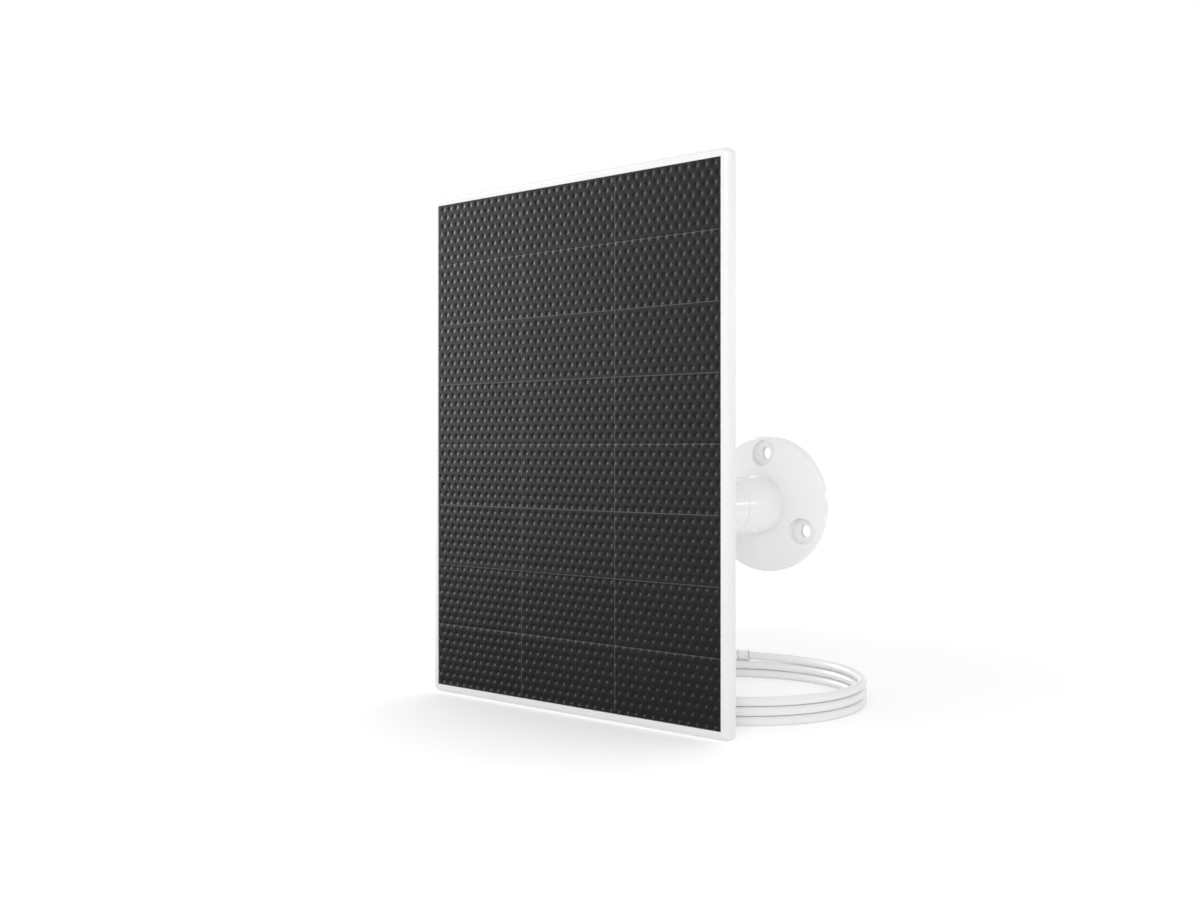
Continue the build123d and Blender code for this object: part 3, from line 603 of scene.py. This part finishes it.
# Colour, roughness and, where the metal is brushed, how its marks are drawn out.
METALS = {
    "steel": ((0.6, 0.6, 0.61), 0.28),
    "brass": ((0.72, 0.5, 0.22), 0.28, (1.0, 0.05, 1.0)),
    "copper_ribbon": ((0.7, 0.66, 0.6), 0.3, (1.0, 1.0, 0.05)),
    "aluminium_can": ((0.75, 0.76, 0.77), 0.3, (1.0, 1.0, 0.1)),
    "polished_steel": ((0.7, 0.71, 0.72), 0.08),
    "shell_metal": ((0.66, 0.66, 0.67), 0.22),
}


class PANEL_OT_finishes(bpy.types.Operator):
    """Give every carried-over piece its own finish"""

    bl_idname = "solar_panel.finishes"
    bl_label = "Finishes"

    def execute(self, context):
        finishes = context.scene.solar_finish
        whites = {
            "white_frame": (finishes.frame_white, 0.34, 0.35, 0.004, 0.15),
            "white_cover": (finishes.frame_white, 0.42, 0.45, 0.02),
            "white_mount": (finishes.mount_white, 0.16, 1.5, 0.006, 0.5),
            "white_plug": (finishes.cord_white, 0.3, 0.4, 0.006, 0.1),
        }
        made = {name: moulded_plastic(name, *look) for name, look in {**whites, **PLASTICS}.items()}
        made |= {name: metal(name, *look) for name, look in METALS.items()}
        made["white_cord"] = bpy.data.materials.get("white_cord") or cord_finish(finishes)
        for part in frame["record"]["subparts"]:
            node = frame["nodes"][part["node"]]
            material = made.get(part["material_slot"])
            if material:
                node.data.materials.clear()
                node.data.materials.append(material)
        return {"FINISHED"}


# ---------------------------------------------------------------- camera, floor and light
class PANEL_OT_camera(bpy.types.Operator):
    """Stand the camera in front of the panel's right side"""

    bl_idname = "solar_panel.camera"
    bl_label = "Camera"

    def execute(self, context):
        stage = context.scene.solar_stage
        data = bpy.data.cameras.new("camera")
        data.sensor_width = 36.0
        data.lens = stage.lens
        camera = bpy.data.objects.new("camera", data)
        camera.location = stage.camera
        camera.rotation_euler = (pi / 2, 0, stage.turn)
        context.scene.collection.objects.link(camera)
        context.scene.camera = camera
        return {"FINISHED"}


def soft_light(name, place, aim, size, power):
    """Square area light that faces a point."""
    data = bpy.data.lights.new(name, "AREA")
    data.shape = "RECTANGLE"
    data.size, data.size_y = size
    data.energy = power
    lamp = bpy.data.objects.new(name, data)
    lamp.location = place
    toward = np.array(aim) - np.array(place)
    lamp.rotation_mode = "QUATERNION"
    lamp.rotation_quaternion = Vector(toward).to_track_quat("-Z", "Y")
    bpy.context.scene.collection.objects.link(lamp)
    return lamp


def surroundings(stage):
    """White studio: even light on rough surfaces, and panels of light that only gloss shows.

    Angles are in degrees, round from the panel's front to its left and up from the level. The
    reflected brightness rises with the angle to the left, with one tall bright panel furthest
    round, and falls off towards the floor. Behind are level stripes of light."""
    studio = Finish("studio", "worlds", "Background")
    point = studio.add("ShaderNodeTexCoord", {}, out="Generated")
    x, y, z = [studio.add("ShaderNodeSeparateXYZ", {}, point, out=axis) for axis in "XYZ"]
    seen = studio.add("ShaderNodeLightPath", {}, out="Is Camera Ray")
    glossy = studio.add("ShaderNodeLightPath", {}, out="Is Glossy Ray")
    around = (0 - x).math("ARCTAN2", 0 - y).math("DEGREES")
    height = z.math("ARCSINE").math("DEGREES")

    def rise(value, start, end, top=1.0):
        """Smooth rise from 0 at start to top at end."""
        return studio.add("ShaderNodeMapRange", {"interpolation_type": "SMOOTHSTEP"}, Value=value,
                          From_Min=start, From_Max=end, To_Min=0.0, To_Max=top)

    wash = studio.add("ShaderNodeMapRange", {"clamp": True}, Value=around, From_Min=stage.dark_side,
                      From_Max=stage.bright_side, To_Min=0.0, To_Max=stage.wash)
    panel_height = rise(height, -6.0, 6.0) * (1 - rise(height, 38.0, 55.0))
    panel = rise(around, 58.0, 72.0, stage.panel) * panel_height
    front = wash * rise(height, -12.0, 2.0) * (1 - rise(height, 2.0, 16.0, 0.3)) + panel
    bright_stripe = rise(height, 4.0, 5.0, 2.2) * (1 - rise(height, 8.0, 9.0))
    low_stripe = rise(height, -20.0, -16.0, 0.35) * (1 - rise(height, -12.0, -9.0))
    stripes = 0.7 + bright_stripe + low_stripe + rise(height, 30.0, 50.0, 0.4)
    behind = rise(y, 0.15, 0.35)
    mirrored = front * (1 - behind) + behind * stripes
    shaded = (1 - x * stage.side_shade - z * stage.top_shade) * stage.ambient
    lit = mirrored * glossy + (1 - glossy) * shaded
    return studio.surface(Color=rgba(WHITE), Strength=seen + (1 - seen) * lit)


GLOW_CENTRE = (0.03, 0.06)      # metres, near the loop of cable
GLOW_REACH = (0.04, 0.28)       # metres from there, where the glow starts to rise and is full


def floor_finish(stage):
    """White floor that glows faintly, and more further out, so it stays white to its edge."""
    finish = Finish("floor_white")
    point, (x, y, _) = finish.place()
    x, y = x - GLOW_CENTRE[0], y - GLOW_CENTRE[1]
    away = (x * x + y * y).math("SQRT")
    share = finish.add("ShaderNodeMapRange", {"interpolation_type": "SMOOTHSTEP"}, Value=away,
                       From_Min=GLOW_REACH[0], From_Max=GLOW_REACH[1], To_Min=0.0, To_Max=1.0)
    glow = finish.blend(share, rgba(WHITE, stage.near_glow), rgba(WHITE, stage.far_glow))
    return finish.surface(Base_Color=rgba(WHITE, 0.95), Roughness=0.9, Specular_IOR_Level=0.1,
                          Emission_Color=glow, Emission_Strength=1.0)


class PANEL_OT_stage(bpy.types.Operator):
    """Lay a plain white floor and light the panel softly"""

    bl_idname = "solar_panel.stage"
    bl_label = "Floor and light"

    def execute(self, context):
        stage = context.scene.solar_stage
        half = stage.floor_size
        corners = np.array([[-half, -half, 0], [half, -half, 0], [half, half, 0], [-half, half, 0]])
        floor = piece("floor", corners, [(0, 1, 2, 3)], floor_finish(stage), smooth=False)
        floor.visible_glossy = False
        context.scene.world = surroundings(stage)
        context.scene.view_settings.view_transform = "Standard"
        soft_light("front", (0.43, -0.72, 0.45), (0, 0, 0.08), (0.35, 0.35), 1.5)
        soft_light("back", (0.05, 0.55, 0.9), (0, 0.02, 0), (0.7, 0.7), 0.5)
        return {"FINISHED"}


class PANEL_PT_sidebar(bpy.types.Panel):
    """Buttons that build the panel's finished look"""

    bl_label = "Solar charging panel"
    bl_idname = "PANEL_PT_sidebar"
    bl_space_type = "VIEW_3D"
    bl_region_type = "UI"
    bl_category = "Solar Panel"

    def draw(self, context):
        for operator in OPERATORS:
            self.layout.operator(operator.bl_idname)


OPERATORS = (PANEL_OT_camera, PANEL_OT_cord, PANEL_OT_tie, PANEL_OT_film, PANEL_OT_finishes,
             PANEL_OT_stage)
SETTINGS = {"solar_film": FilmSettings, "solar_cord": CordSettings,
            "solar_finish": FinishSettings, "solar_stage": StageSettings}


def register():
    for kind in (*SETTINGS.values(), *OPERATORS, PANEL_PT_sidebar):
        bpy.utils.register_class(kind)
    for name, kind in SETTINGS.items():
        setattr(bpy.types.Scene, name, PointerProperty(type=kind))


def unregister():
    for name in SETTINGS:
        delattr(bpy.types.Scene, name)
    for kind in (PANEL_PT_sidebar, *reversed(OPERATORS), *reversed(SETTINGS.values())):
        bpy.utils.unregister_class(kind)


def main():
    register()
    bpy.ops.solar_panel.camera()
    bpy.ops.solar_panel.cord()
    bpy.ops.solar_panel.tie()
    bpy.ops.solar_panel.film()
    bpy.ops.solar_panel.finishes()
    bpy.ops.solar_panel.stage()


if __name__ == "__main__":
    main()
